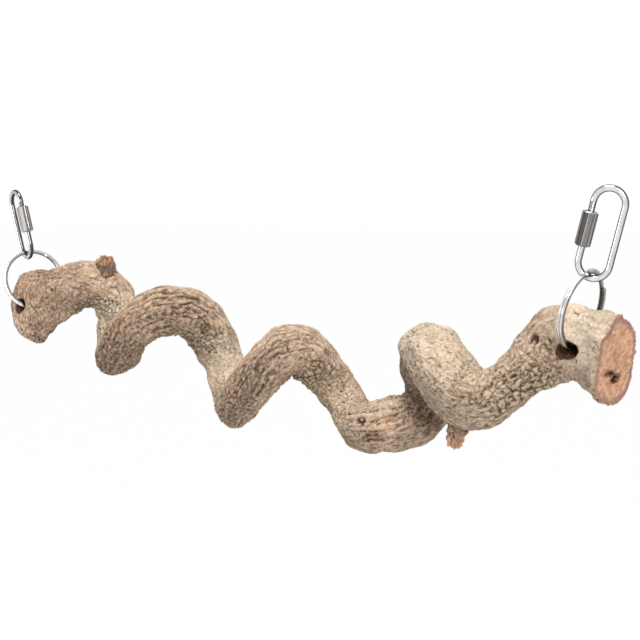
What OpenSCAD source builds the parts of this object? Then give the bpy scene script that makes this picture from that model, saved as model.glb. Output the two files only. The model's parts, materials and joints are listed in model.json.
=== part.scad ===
// Corkscrew vine perch: one piece of twisted wood, hung at each end by a
// split ring through a drilled hole and a screw-gate quick link.
// +X runs from the left hanger to the right one and +Z is up. The origin is
// the seat inside the top bow of the left quick link. Sizes are millimetres.

/* [Branch] */
// Length of the wood along the perch, the unit of the table's first column
branch_l = 366; // [330:1:400]
// Reach of the coils from their middle line, the unit of the next two columns
coil_r = 20; // [19:0.1:21]
// Usual thickness of the wood
stem_d = 25; // [23:0.1:26]
// Width of the two holes drilled for the rings
hole_d = 8; // [7.8:0.1:9]
// How far the wood is lobed, as a share of its thickness
lobe_share = 0.05; // [0:0.01:0.08]
// How far the bark heaves up and down between its lumps, as a share of the radius
lump_share = 0.05; // [0:0.01:0.07]

/* [Split rings] */
// Outside width of a ring
ring_d = 34.2; // [33.6:0.1:37]
// Width of the flat wire, measured away from the ring's middle
wire_w = 2.2; // [1.8:0.1:2.3]
// Thickness of the flat wire
wire_t = 0.95; // [0.7:0.05:1]
// Gap between the two turns of wire
turn_gap = 0.1; // [0.06:0.02:0.2]

/* [Quick links] */
// Length of a link over its two bows
link_l = 40; // [38:0.5:50]
// Width of a link over its two legs
link_w = 15.5; // [14:0.1:18]
// Thickness of the link's round rod
rod_d = 2.8; // [2.4:0.1:3]
// Length of the screw sleeve
nut_l = 14.4; // [12:0.1:15]
// Width of the screw sleeve across its flats
nut_across = 5.8; // [5.2:0.1:6.2]
// Opening that the sleeve bares when it is screwed down
gate_gap = 3.4; // [2.6:0.1:4]
// Rod that the left sleeve still covers above the opening
left_grip = 3.6; // [1.5:0.1:3.8]
// Rod that the right sleeve still covers above the opening
right_grip = 2; // [1.5:0.1:3.8]

/* [Hanging] */
// Outward lean of the left ring, in degrees
left_ring_lean = 13; // [0:1:20]
// Outward lean of the right ring, in degrees
right_ring_lean = 16; // [0:1:20]
// Outward lean of the left link, in degrees
left_link_lean = 13; // [0:1:20]
// Outward lean of the right link, in degrees
right_link_lean = 16; // [0:1:20]

/* [Hidden] */

// Smoothness of round parts, and of the swept wood
round_fn = 48;
ring_fn = 96;
wood_sides = 28;
steps_each = 4;
stub_sides = 10;

// Running clearance between sleeve and rod, and between link and ring
sleeve_clear = 0.05;
hang_clear = 0.15;
// How far a cutter runs past what it cuts
overrun = 30;

// Course of the wood, from its left cut to its right one. Each row holds the
// place along the perch, to the back and up, all from the left hole, then the
// thickness and how far the wood is flattened across its hole.
course_shares = [
    [-0.022, -0.03, -0.50, 1.44, 0.48],
    [-0.010, -0.05, -0.26, 1.58, 0.56],
    [0.012, -0.06, 0.02, 1.56, 0.58],
    [0.050, 0.00, 0.36, 1.26, 0.46],
    [0.089, 0.12, 0.62, 1.08, 0.12],
    [0.118, 0.38, 0.60, 1.02, 0],
    [0.136, 0.62, 0.16, 0.98, 0],
    [0.150, 0.48, -0.54, 0.96, 0],
    [0.175, -0.05, -1.28, 1.02, 0],
    [0.213, -0.64, -1.12, 1.00, 0],
    [0.254, -0.89, -0.32, 0.96, 0],
    [0.291, -0.74, 0.06, 0.98, 0],
    [0.315, -0.31, 0.14, 1.02, 0],
    [0.331, 0.17, -0.16, 1.02, 0],
    [0.344, 0.45, -0.72, 0.96, 0],
    [0.366, 0.46, -1.46, 0.86, 0],
    [0.406, -0.14, -2.28, 0.90, 0],
    [0.441, -0.77, -2.16, 0.90, 0],
    [0.481, -1.11, -1.50, 0.92, 0],
    [0.506, -1.02, -0.90, 0.98, 0],
    [0.525, -0.56, -0.60, 1.02, 0],
    [0.540, -0.03, -0.92, 0.94, 0],
    [0.555, 0.30, -1.49, 0.86, 0],
    [0.581, 0.27, -2.10, 0.82, 0],
    [0.617, -0.17, -2.44, 0.94, 0],
    [0.662, -0.37, -2.32, 0.98, 0],
    [0.696, -0.11, -2.16, 0.98, 0],
    [0.710, 0.38, -1.78, 0.92, 0],
    [0.696, 0.54, -1.06, 0.88, 0],
    [0.706, 0.06, -0.38, 0.92, 0],
    [0.740, -0.70, -0.40, 1.00, 0],
    [0.779, -1.23, -0.84, 1.04, 0],
    [0.814, -1.36, -1.30, 1.02, 0],
    [0.846, -1.15, -1.20, 0.96, 0],
    [0.871, -0.90, -0.74, 0.92, 0.05],
    [0.890, -0.62, -0.32, 1.06, 0.20],
    [0.913, -0.42, -0.05, 1.32, 0.37],
    [0.947, -0.34, -0.14, 1.40, 0.40],
    [0.976, -0.35, -0.28, 1.50, 0.36]
];

// Knobs and hollows: the place along the course, the place round the wood and
// the height, as shares of the course, of a turn and of the wood's radius. Then
// how far each spreads along and round, in the first two units.
knob_shares = [
    [0.03, 0.80, 0.22],
    [0.055, 0.75, 0.16],
    [0.08, 0.77, -0.22],
    [0.05, 0.28, -0.10],
    [0.16, 0.71, -0.10],
    [0.19, 0.09, -0.32],
    [0.23, 0.54, -0.22],
    [0.25, 0.57, -0.16],
    [0.38, 0.06, -0.12],
    [0.41, 0.56, -0.12],
    [0.44, 0.48, -0.12],
    [0.45, 0.86, -0.28],
    [0.50, 0.39, -0.12],
    [0.52, 0.94, -0.10],
    [0.535, 0.43, 0.16],
    [0.57, 0.50, -0.12],
    [0.60, 0.96, -0.20],
    [0.66, 0.10, -0.16],
    [0.67, 0.66, 0.20],
    [0.74, 0.58, 0.12],
    [0.81, 0.15, 0.10],
    [0.85, 0.72, 0.12],
    [0.88, 0.73, -0.22],
    [0.90, 0.25, -0.12],
    [0.92, 0.69, 0.08],
    [0.94, 0.26, 0.14],
    [1.00, 0.78, 0.22],
    [1.00, 0.92, 0.24]
];
knob_along_share = 0.025;
knob_round_share = 0.1;

// Place of the right hole, in the units of the course
right_hole_shares = [0.932, -0.44, 0.065];

// Directions of the holes: turned from the back towards the right, and rising
left_drill_turn = 26;
left_drill_rise = 5;
right_drill_turn = 8;
right_drill_rise = 24;

// Where each link hangs on its ring, round from the middle towards the front
left_pull_round = 3;
right_pull_round = -26;

// Lean of each link to the back, and turn of its flat side to the front
left_link_back = -4;
right_link_back = -2;
left_link_turn = 17;
right_link_turn = -16;

// Where on each ring the wire steps over, round from its front
left_step_at = 22;
right_step_at = 72;

// Half thickness of the wood that a ring goes round, at each hole
grip_half = stem_d * 0.42;

up = [0, 0, 1];
back = [0, 1, 0];

function unit(v) = v / norm(v);
function reject(v, n) = v - (v * n) * n;

// Direction of a hole
function drill(turn, rise) = [sin(turn) * cos(rise), cos(turn) * cos(rise), sin(rise)];

// Sizes of a ring's and a link's middle line
ring_r = (ring_d - wire_w) / 2;
bow_r = (link_w - rod_d) / 2;
stack_t = 2 * wire_t + turn_gap;
wire_corner = wire_t / 4;

// Height of a ring's middle over its hole: half way between the depth at
// which its wire touches the hole's floor and the one at which it touches
// the roof
ring_rise = (ring_r + sqrt(pow(ring_r, 2) - pow(grip_half, 2))) / 2;

// Frame of a ring: to the front along its hole, up in its plane, and outward
function ring_front(turn, rise) = -drill(turn, rise);
function ring_up(turn, rise, lean) =
    let (h = drill(turn, rise), v = unit(reject(up, h)))
    cos(lean) * v + sin(lean) * cross(h, v);
function pull_dir(turn, rise, lean, round) =
    cos(round) * ring_up(turn, rise, lean) + sin(round) * ring_front(turn, rise);

left_front = ring_front(left_drill_turn, left_drill_rise);
left_up = ring_up(left_drill_turn, left_drill_rise, -left_ring_lean);
left_pull = pull_dir(left_drill_turn, left_drill_rise, -left_ring_lean, left_pull_round);
right_front = ring_front(right_drill_turn, right_drill_rise);
right_up = ring_up(right_drill_turn, right_drill_rise, right_ring_lean);
right_pull = pull_dir(right_drill_turn, right_drill_rise, right_ring_lean, right_pull_round);

// Frame of a link: along its legs, and across from leg to leg
left_long = unit([-tan(left_link_lean), tan(left_link_back), 1]);
left_across = unit(reject([cos(left_link_turn), -sin(left_link_turn), 0], left_long));
right_long = unit([tan(right_link_lean), tan(right_link_back), 1]);
right_across = unit(reject([cos(right_link_turn), -sin(right_link_turn), 0], right_long));

// From the ring's middle to the middle of the rod that hangs on it, which
// clears the corners of the wire however the link is turned, and from there
// to the seat inside the link's top bow
hang_r = ring_r - norm([wire_w / 2, stack_t / 2 - wire_corner]) - hang_clear - rod_d / 2;
seat_up = link_l - rod_d - rod_d / 2;

// Places of each end's link, ring and hole, from the left hanger onwards
left_link_at = -seat_up * left_long;
left_ring_at = left_link_at - hang_r * left_pull;
left_hole_at = left_ring_at - ring_rise * left_up;
right_hole_at = left_hole_at + [right_hole_shares[0] * branch_l,
    right_hole_shares[1] * coil_r, right_hole_shares[2] * coil_r];
right_ring_at = right_hole_at + ring_rise * right_up;
right_link_at = right_ring_at + hang_r * right_pull;
right_hanger_at = right_link_at + seat_up * right_long;
echo(left_hole_at = left_hole_at, left_ring_at = left_ring_at, left_link_at = left_link_at);
echo(left_drill = -left_front, left_pull = left_pull, left_long = left_long);
echo(left_across = left_across, left_turn_axis = cross(left_long, left_across));
echo(right_hole_at = right_hole_at, right_ring_at = right_ring_at, right_link_at = right_link_at);
echo(right_drill = -right_front, right_pull = right_pull, right_long = right_long);
echo(right_across = right_across, right_turn_axis = cross(right_long, right_across));
echo(right_hanger_at = right_hanger_at, ring_r = ring_r, ring_rise = ring_rise, bow_r = bow_r);

// The sleeve's lowest place is just above the bottom bow
leg_top = link_l - rod_d - bow_r;
gate_low = bow_r + sleeve_clear + nut_l;
gate_high = gate_low + gate_gap;
left_sleeve_low = gate_high + left_grip - nut_l;
right_sleeve_low = gate_high + right_grip - nut_l;
gate_chamfer = rod_d / 8;
nut_chamfer = nut_across / 12;

// Smooth curve through the neighbourhood of the rows, and exactly to both ends
function spline_at(a, b, c, d, t) =
    (pow(1 - t, 3) * a + (3 * pow(t, 3) - 6 * pow(t, 2) + 4) * b
    + (-3 * pow(t, 3) + 3 * pow(t, 2) + 3 * t + 1) * c + pow(t, 3) * d) / 6;
function smooth(p, n) =
    let (last = len(p) - 1, q = concat([2 * p[0] - p[1]], p, [2 * p[last] - p[last - 1]]))
    [for (i = [0 : last - 1], k = [0 : n - 1]) spline_at(q[i], q[i + 1], q[i + 2], q[i + 3], k / n),
        p[last]];

// Rows in millimetres: place, radius, flattening
course = [for (s = course_shares)
    [s[0] * branch_l, s[1] * coil_r, s[2] * coil_r, s[3] * stem_d / 2, s[4]]];
wood_rows = smooth(course, steps_each);
wood_path = [for (r = wood_rows) left_hole_at + [r[0], r[1], r[2]]];

// Direction of a path at each point, and a normal carried along it unturned
function headings(p) =
    let (last = len(p) - 1)
    [for (i = [0 : last]) unit(p[min(i + 1, last)] - p[max(i - 1, 0)])];
function carried(t, first) =
    [for (i = 0, n = unit(reject(first, t[0])); i < len(t);
        i = i + 1, n = i < len(t) ? unit(reject(n, t[i])) : n) n];

// Radius of the wood at an angle and a row of its course: a circle with lobes
// that wind round it, lumps that wind both ways, and the knobs
lobe_twist = 54;
function lobes(angle, row) =
    cos(3 * angle + lobe_twist * row) + 0.5 * cos(5 * angle - 2 * lobe_twist * row);
function lumps(angle, row) = sin(3 * angle + 440 * row) + sin(5 * angle - 200 * row);
function knobs(angle, row) = sum([for (k = knob_shares)
    let (along = row / (len(course_shares) - 1) - k[0], turn = angle / 360 - k[1])
    k[2] * exp(-pow(along / knob_along_share, 2) - pow((turn - round(turn)) / knob_round_share, 2))]);
function wood_radius(r, angle, row) =
    r * (1 + lobe_share * lobes(angle, row) + lump_share / 2 * lumps(angle, row) + knobs(angle, row));

// Closed skin over rings of points, each with a fan at its end
module skin(rings) {
    sides = len(rings[0]);
    last = len(rings) - 1;
    middle_a = [for (k = [0 : 2]) sum([for (p = rings[0]) p[k]]) / sides];
    middle_b = [for (k = [0 : 2]) sum([for (p = rings[last]) p[k]]) / sides];
    points = concat([for (ring = rings) each ring], [middle_a, middle_b]);
    first_end = len(points) - 2;
    polyhedron(points = points, faces = concat(
        [for (i = [0 : last - 1], j = [0 : sides - 1])
            [i * sides + j, (i + 1) * sides + j, (i + 1) * sides + (j + 1) % sides]],
        [for (i = [0 : last - 1], j = [0 : sides - 1])
            [i * sides + j, (i + 1) * sides + (j + 1) % sides, i * sides + (j + 1) % sides]],
        [for (j = [0 : sides - 1]) [first_end, j, (j + 1) % sides]],
        [for (j = [0 : sides - 1])
            [first_end + 1, last * sides + (j + 1) % sides, last * sides + j]]));
}

function sum(v, i = 0) = i < len(v) ? v[i] + sum(v, i + 1) : 0;

// Rings of the wood, squeezed along the hole of their own end
wood_headings = headings(wood_path);
wood_normals = carried(wood_headings, -back);
wood_rings = [for (i = [0 : len(wood_path) - 1])
    let (t = wood_headings[i], n = wood_normals[i], b = cross(t, n),
        r = wood_rows[i][3], flat = wood_rows[i][4],
        squeeze = unit(reject(i < len(wood_path) / 2 ? left_front : right_front, t)))
    [for (j = [0 : wood_sides - 1])
        let (a = 360 * j / wood_sides, w = wood_radius(r, a, i / steps_each),
            v = w * (cos(a) * n + sin(a) * b))
        wood_path[i] + v - flat * (v * squeeze) * squeeze]];

// Broken twigs: place and direction by shares of the path, then width and length
module twig(row_share, out, width, length) {
    i = round(row_share * (len(wood_path) - 1));
    root = wood_path[i];
    dir = unit(out);
    n = unit(reject(back, dir));
    b = cross(dir, n);
    r = wood_rows[i][3];
    skin([for (k = [0 : 3])
        let (s = k / 3, w = width / 2 * (1 + 0.5 * pow(1 - s, 2)))
        [for (j = [0 : stub_sides - 1])
            let (a = 360 * j / stub_sides)
            root + (r * 0.5 + s * (r * 0.5 + length)) * dir
            + w * (1 + 0.12 * cos(3 * a)) * (cos(a) * n + sin(a) * b)]]);
}

// A straight hole along a direction, round a place
module drilled(at, dir) {
    n = unit(reject(up, dir));
    frame(at, n, cross(dir, n), dir)
        cylinder(d = hole_d, h = 2 * overrun, center = true, $fn = round_fn);
}

// Places what follows at a point, with its own X, Y and Z along three directions
module frame(at, x, y, z) {
    multmatrix([[x[0], y[0], z[0], at[0]], [x[1], y[1], z[1], at[1]],
        [x[2], y[2], z[2], at[2]], [0, 0, 0, 1]]) children();
}

// The stump of a twig on the first coil, and a longer spur under the fourth
stump_width_share = 0.4;
stump_length_share = 0.28;
spur_width_share = 0.32;
spur_length_share = 0.44;

module branch() {
    color("tan") difference() {
        union() {
            skin(wood_rings);
            twig(0.138, [0, 0, 1], stem_d * stump_width_share, stem_d * stump_length_share);
            twig(0.845, [-0.25, -0.1, -1], stem_d * spur_width_share, stem_d * spur_length_share);
        }
        drilled(left_hole_at, -left_front);
        drilled(right_hole_at, -right_front);
    }
}

// Section of the flat wire with its corners taken off, as radius and height,
// and less a trim all round
turn_z = (wire_t + turn_gap) / 2;
function wire_outline(z, trim = 0) =
    let (w = wire_w / 2 - trim, t = wire_t / 2 - trim, c = wire_corner, r = ring_r)
    [[r - w + c, z - t], [r + w - c, z - t], [r + w, z - t + c], [r + w, z + t - c],
        [r + w - c, z + t], [r - w + c, z + t], [r - w, z + t - c], [r - w, z - t + c]];

// A split ring is one length of flat wire in two turns that lie on each other.
// It steps over from the first turn to the second between their two ends, and
// the step's own length is a hair slimmer and runs a little way into both turns.
step_angle = 100;
step_parts = 12;
step_trim = 0.02;
step_lap_angle = 1.5;
end_gap_angle = 2;
turn_angle = 360 - step_angle - end_gap_angle;
step_shares = concat([1 + step_lap_angle / step_angle],
    [for (k = [step_parts : -1 : 0]) k / step_parts], [-step_lap_angle / step_angle]);
step_rings = [for (s = step_shares)
    let (a = step_angle * s, z = -turn_z * cos(180 * max(0, min(1, s))))
    [for (p = wire_outline(z, step_trim)) [p[0] * cos(a), p[0] * sin(a), p[1]]]];

module turn_of_wire(z, from_angle) {
    rotate([0, 0, from_angle]) rotate_extrude(angle = turn_angle, $fn = ring_fn)
        polygon(wire_outline(z));
}

module split_ring(at, front, up_dir, step_at) {
    frame(at, front, up_dir, cross(front, up_dir)) rotate([0, 0, step_at]) {
        turn_of_wire(-turn_z, step_angle + end_gap_angle);
        skin(step_rings);
        turn_of_wire(turn_z, step_angle);
    }
}

module left_split_ring() {
    color("silver") split_ring(left_ring_at, left_front, left_up, left_step_at);
}

module right_split_ring() {
    color("silver") split_ring(right_ring_at, right_front, right_up, right_step_at);
}

// A quick link's rod: two bows and a plain leg, and on the gate side two stubs
// whose chamfered ends face each other across the opening
module half_bow() {
    rotate([90, 0, 0]) rotate_extrude(angle = 180, $fn = round_fn)
        translate([bow_r, 0]) circle(d = rod_d, $fn = round_fn);
}

module leg_stub(length) {
    cylinder(d = rod_d, h = length - gate_chamfer, $fn = round_fn);
    translate([0, 0, length - gate_chamfer])
        cylinder(d1 = rod_d, d2 = rod_d - 2 * gate_chamfer, h = gate_chamfer, $fn = round_fn);
}

module quick_link(at, long, across, gate_side) {
    frame(at, across, cross(long, across), long) {
        translate([0, 0, bow_r]) rotate([0, 180, 0]) half_bow();
        translate([0, 0, leg_top]) half_bow();
        translate([-gate_side * bow_r, 0, bow_r])
            cylinder(d = rod_d, h = leg_top - bow_r, $fn = round_fn);
        translate([gate_side * bow_r, 0, bow_r]) leg_stub(gate_low - bow_r);
        translate([gate_side * bow_r, 0, leg_top]) rotate([180, 0, 0])
            leg_stub(leg_top - gate_high);
    }
}

module left_link() {
    color("silver") quick_link(left_link_at, left_long, left_across, 1);
}

module right_link() {
    color("silver") quick_link(right_link_at, right_long, right_across, -1);
}

// The screw sleeve: a long six-sided nut, chamfered at both ends, with the
// bore that slides and turns on the gate leg
module sleeve(at, long, across, gate_side, low) {
    corner_r = nut_across / 2 / cos(30);
    end_r = nut_across / 2 - nut_chamfer;
    rise = (corner_r - end_r) * tan(30);
    frame(at, across, cross(long, across), long) translate([gate_side * bow_r, 0, low])
        difference() {
            intersection() {
                cylinder(r = corner_r, h = nut_l, $fn = 6);
                rotate_extrude($fn = round_fn) polygon([[0, 0], [end_r, 0], [corner_r, rise],
                    [corner_r, nut_l - rise], [end_r, nut_l], [0, nut_l]]);
            }
            translate([0, 0, -overrun / 2])
                cylinder(d = rod_d + 2 * sleeve_clear, h = nut_l + overrun, $fn = round_fn);
        }
}

module left_link_sleeve() {
    color("lightgrey") sleeve(left_link_at, left_long, left_across, 1, left_sleeve_low);
}

module right_link_sleeve() {
    color("lightgrey") sleeve(right_link_at, right_long, right_across, -1, right_sleeve_low);
}

branch();
left_split_ring();
right_split_ring();
left_link();
right_link();
left_link_sleeve();
right_link_sleeve();
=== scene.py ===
"""A corkscrew vine perch dressed for its portrait: barked wood, sawn ends, broken
twigs, and bright steel rings and links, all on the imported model's bodies.

Tables and sizes are in millimetres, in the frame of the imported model, and meshes
are made in metres. A surface is a grid: rows run along a piece, sides go round it."""

import json

import bpy
import numpy as np
from mathutils import Matrix, Vector


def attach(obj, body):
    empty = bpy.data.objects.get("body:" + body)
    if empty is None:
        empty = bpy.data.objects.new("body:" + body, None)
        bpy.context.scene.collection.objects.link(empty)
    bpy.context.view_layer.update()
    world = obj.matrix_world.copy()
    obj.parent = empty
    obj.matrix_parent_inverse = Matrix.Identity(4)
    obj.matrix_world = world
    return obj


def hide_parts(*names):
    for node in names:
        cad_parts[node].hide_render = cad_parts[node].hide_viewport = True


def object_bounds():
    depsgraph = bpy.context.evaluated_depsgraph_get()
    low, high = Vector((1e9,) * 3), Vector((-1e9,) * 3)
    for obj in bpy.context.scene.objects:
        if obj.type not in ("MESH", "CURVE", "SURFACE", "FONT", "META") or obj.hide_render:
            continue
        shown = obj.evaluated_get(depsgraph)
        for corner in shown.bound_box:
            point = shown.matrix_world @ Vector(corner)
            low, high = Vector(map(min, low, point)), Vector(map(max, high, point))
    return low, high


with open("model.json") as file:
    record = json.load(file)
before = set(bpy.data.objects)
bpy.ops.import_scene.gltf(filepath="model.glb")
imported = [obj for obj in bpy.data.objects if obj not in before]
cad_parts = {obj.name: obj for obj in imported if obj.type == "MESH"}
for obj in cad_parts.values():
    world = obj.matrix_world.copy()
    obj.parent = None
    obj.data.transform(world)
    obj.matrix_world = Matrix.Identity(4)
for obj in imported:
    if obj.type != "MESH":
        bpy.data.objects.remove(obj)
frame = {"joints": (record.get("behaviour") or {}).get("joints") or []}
cad_box = [list(corner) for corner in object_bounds()]
MM = 0.001

# Camera: its place, the way it looks, the way up in it, and its lens
EYE = np.array([617.7, -523.7, -3.3])
LOOK = np.array([-0.606, 0.7908, -0.0854])
ABOVE = np.array([-0.0502, 0.0692, 0.9963])
LENS_MM, SENSOR_MM, CLIP_M = 78.75, 36, 20


def make_camera():
    """The photograph's standpoint, level with the hangers: the camera looks down its
    own z axis, so that axis is the look turned round, and x is up crossed with it."""
    back = -LOOK / np.linalg.norm(LOOK)
    right = np.cross(ABOVE, back)
    right /= np.linalg.norm(right)
    turn = np.stack([right, np.cross(back, right), back], axis=1)
    lens = bpy.data.cameras.new("portrait_lens")
    lens.lens, lens.sensor_width, lens.clip_end = LENS_MM, SENSOR_MM, CLIP_M
    camera = bpy.data.objects.new("portrait", lens)
    bpy.context.scene.collection.objects.link(camera)
    camera.matrix_world = Matrix.Translation(Vector(EYE * MM)) @ Matrix(turn.tolist()).to_4x4()
    bpy.context.scene.camera = camera


make_camera()


# Vectors and noise
def unit(v):
    """Each vector divided by its own length."""
    return v / np.linalg.norm(v, axis=-1, keepdims=True)


def reject(v, n):
    """What is left of v when its share along the unit vector n is taken away."""
    return v - (v * n).sum(-1, keepdims=True) * n


def smoothstep(low, high, x):
    """0 below low, 1 above high, and 3t^2 - 2t^3 between."""
    t = np.clip((x - low) / (high - low), 0, 1)
    return t * t * (3 - 2 * t)


def mixed(a, b, share):
    """a where share is 0, b where it is 1, and in proportion between."""
    return a + (b - a) * share


def in_frame(points, at, x, y, z):
    """Points given along the directions x, y and z from a place."""
    return at + points[..., :1] * x + points[..., 1:2] * y + points[..., 2:] * z


GRADIENTS = unit(np.random.default_rng(7).normal(size=(256, 3)))
SHUFFLE = np.random.default_rng(11).permutation(256)


def hashed(cell, seed):
    """One number below 256 for each cell of a lattice."""
    x, y, z = (cell[:, k] & 255 for k in range(3))
    return SHUFFLE[(SHUFFLE[(SHUFFLE[(x + seed) & 255] + y) & 255] + z) & 255]


def noise(p, seed=0):
    """Gradient noise: at each point the dot products with the eight nearest
    lattice gradients, blended by the quintic 6t^5 - 15t^4 + 10t^3. About -1 to 1."""
    base = np.floor(p).astype(np.int64)
    t = p - base
    fade = t * t * t * (t * (6 * t - 15) + 10)
    total = np.zeros(len(p))
    for corner in np.ndindex(2, 2, 2):
        weight = np.prod(np.where(corner, fade, 1 - fade), axis=1)
        slope = GRADIENTS[hashed(base + corner, seed)]
        total += weight * (slope * (t - corner)).sum(1)
    return 1.6 * total


def layered(p, octaves, seed=0):
    """Octaves of noise, each half as strong and about twice as fine."""
    total = sum(noise(p * 2.03**k, seed + 17 * k) * 0.5**k for k in range(octaves))
    return total / sum(0.5**k for k in range(octaves))


def cells(p, seed=0):
    """How much further the second nearest of some scattered points is than the
    nearest: nought on the borders between cells, and most in their middles."""
    base = np.floor(p).astype(np.int64)
    nearest, second = np.full(len(p), 9.0), np.full(len(p), 9.0)
    for step in np.ndindex(3, 3, 3):
        cell = base + np.array(step) - 1
        pick = hashed(cell, seed)
        place = cell + 0.5 + 0.42 * GRADIENTS[pick]
        away = np.linalg.norm(place - p, axis=1)
        second = np.minimum(second, np.maximum(nearest, away))
        nearest = np.minimum(nearest, away)
    return second - nearest


# Places shared with the solids
RING_R, WIRE_W, WIRE_T, TURN_GAP, HANG_CLEAR = 16.0, 2.2, 0.95, 0.1, 0.15
LINK_L, LINK_W, ROD_D, GATE_GAP = 40.0, 15.5, 2.8, 3.4
NUT_L, NUT_ACROSS, SLEEVE_CLEAR, LEFT_GRIP, RIGHT_GRIP = 14.4, 5.8, 0.05, 3.6, 2.0
HOLE_R, STEM_R, COIL_R, BRANCH_L, GRIP_SHARE = 4.0, 12.5, 20.0, 366.0, 0.42
BOW_R = (LINK_W - ROD_D) / 2
GATE_LOW = BOW_R + SLEEVE_CLEAR + NUT_L
GATE_HIGH = GATE_LOW + GATE_GAP
UP = np.array([0.0, 0.0, 1.0])


class End:
    """One end's hole, ring and link, by the same rules as the solids' source: the
    drill is turned from the back to the right and rises, the ring leans from the
    plumb in its plane, and the link hangs round it from up to front."""

    def __init__(self, turn, rise, lean, pull_round, link_lean, link_back, link_turn):
        turn, rise, lean, pull_round, link_lean, link_back, link_turn = np.radians(
            [turn, rise, lean, pull_round, link_lean, link_back, link_turn])
        self.drill = np.array([np.sin(turn) * np.cos(rise), np.cos(turn) * np.cos(rise), np.sin(rise)])
        plumb = unit(reject(UP, self.drill))
        self.up = np.cos(lean) * plumb + np.sin(lean) * np.cross(self.drill, plumb)
        self.front = -self.drill
        self.pull = np.cos(pull_round) * self.up + np.sin(pull_round) * self.front
        self.long = unit(np.array([np.tan(link_lean), np.tan(link_back), 1]))
        self.across = unit(reject(np.array([np.cos(link_turn), -np.sin(link_turn), 0]), self.long))


RING_RISE = (RING_R + np.sqrt(RING_R**2 - (2 * STEM_R * GRIP_SHARE) ** 2)) / 2
WIRE_CORNER = np.hypot(WIRE_W / 2, (2 * WIRE_T + TURN_GAP) / 2 - WIRE_T / 4)
HANG_R = RING_R - WIRE_CORNER - HANG_CLEAR - ROD_D / 2
LEFT = End(turn=26, rise=5, lean=-13, pull_round=3, link_lean=-13, link_back=-4, link_turn=17)
RIGHT = End(turn=8, rise=24, lean=16, pull_round=-26, link_lean=16, link_back=-2, link_turn=-16)
joints = {j["name"]: j for j in frame["joints"]}
for end, side in ((LEFT, "left"), (RIGHT, "right")):
    end.hole = np.array(joints[side + "_ring_swing"]["pos_m"]) / MM
    end.ring = end.hole + RING_RISE * end.up
    end.link = end.ring + HANG_R * end.pull

# Course of the wood: along, back and up from the left hole, thickness, flattening
COURSE = np.array([
    [-0.022, -0.03, -0.50, 1.44, 0.48], [-0.010, -0.05, -0.26, 1.58, 0.56],
    [0.012, -0.06, 0.02, 1.56, 0.58], [0.050, 0.00, 0.36, 1.26, 0.46],
    [0.089, 0.12, 0.62, 1.08, 0.12], [0.118, 0.38, 0.60, 1.02, 0],
    [0.136, 0.62, 0.16, 0.98, 0], [0.150, 0.48, -0.54, 0.96, 0],
    [0.175, -0.05, -1.28, 1.02, 0], [0.213, -0.64, -1.12, 1.00, 0],
    [0.254, -0.89, -0.32, 0.96, 0], [0.291, -0.74, 0.06, 0.98, 0],
    [0.315, -0.31, 0.14, 1.02, 0], [0.331, 0.17, -0.16, 1.02, 0],
    [0.344, 0.45, -0.72, 0.96, 0], [0.366, 0.46, -1.46, 0.86, 0],
    [0.406, -0.14, -2.28, 0.90, 0], [0.441, -0.77, -2.16, 0.90, 0],
    [0.481, -1.11, -1.50, 0.92, 0], [0.506, -1.02, -0.90, 0.98, 0],
    [0.525, -0.56, -0.60, 1.02, 0], [0.540, -0.03, -0.92, 0.94, 0],
    [0.555, 0.30, -1.49, 0.86, 0], [0.581, 0.27, -2.10, 0.82, 0],
    [0.617, -0.17, -2.44, 0.94, 0], [0.662, -0.37, -2.32, 0.98, 0],
    [0.696, -0.11, -2.16, 0.98, 0], [0.710, 0.38, -1.78, 0.92, 0],
    [0.696, 0.54, -1.06, 0.88, 0], [0.706, 0.06, -0.38, 0.92, 0],
    [0.740, -0.70, -0.40, 1.00, 0], [0.779, -1.23, -0.84, 1.04, 0],
    [0.814, -1.36, -1.30, 1.02, 0], [0.846, -1.15, -1.20, 0.96, 0],
    [0.871, -0.90, -0.74, 0.92, 0.05], [0.890, -0.62, -0.32, 1.06, 0.20],
    [0.913, -0.42, -0.05, 1.32, 0.37], [0.947, -0.34, -0.14, 1.40, 0.40],
    [0.976, -0.35, -0.28, 1.50, 0.36]])
LOBE_SHARE, LUMP_SHARE, LOBE_TWIST = 0.05, 0.05, 54.0
LUMP_TWISTS = (440, 200)

# Knobs and hollows of the wood: place along it and round it, then height, and
# how far each of them spreads both ways
KNOB_ALONG, KNOB_ROUND = 0.025, 0.1
KNOBS = np.array([
    [0.03, 0.80, 0.22], [0.055, 0.75, 0.16], [0.08, 0.77, -0.22], [0.05, 0.28, -0.10],
    [0.16, 0.71, -0.10], [0.19, 0.09, -0.32], [0.23, 0.54, -0.22], [0.25, 0.57, -0.16],
    [0.38, 0.06, -0.12], [0.41, 0.56, -0.12], [0.44, 0.48, -0.12], [0.45, 0.86, -0.28],
    [0.50, 0.39, -0.12], [0.52, 0.94, -0.10], [0.535, 0.43, 0.16], [0.57, 0.50, -0.12],
    [0.60, 0.96, -0.20], [0.66, 0.10, -0.16], [0.67, 0.66, 0.20], [0.74, 0.58, 0.12],
    [0.81, 0.15, 0.10], [0.85, 0.72, 0.12], [0.88, 0.73, -0.22], [0.90, 0.25, -0.12],
    [0.92, 0.69, 0.08], [0.94, 0.26, 0.14], [1.00, 0.78, 0.22], [1.00, 0.92, 0.24]])

# The sawn end's own swells and hollows, as knobs: it is hollow towards the front
# and flares at the back and below
FLARES = np.array([
    [1.0, 0.67, 0.04], [1.0, 0.55, -0.20], [1.0, 0.42, -0.20], [1.0, 0.28, -0.06],
    [1.0, 0.20, 0.05], [1.0, 0.94, 0.15], [1.0, 0.82, 0.06]])


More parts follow.
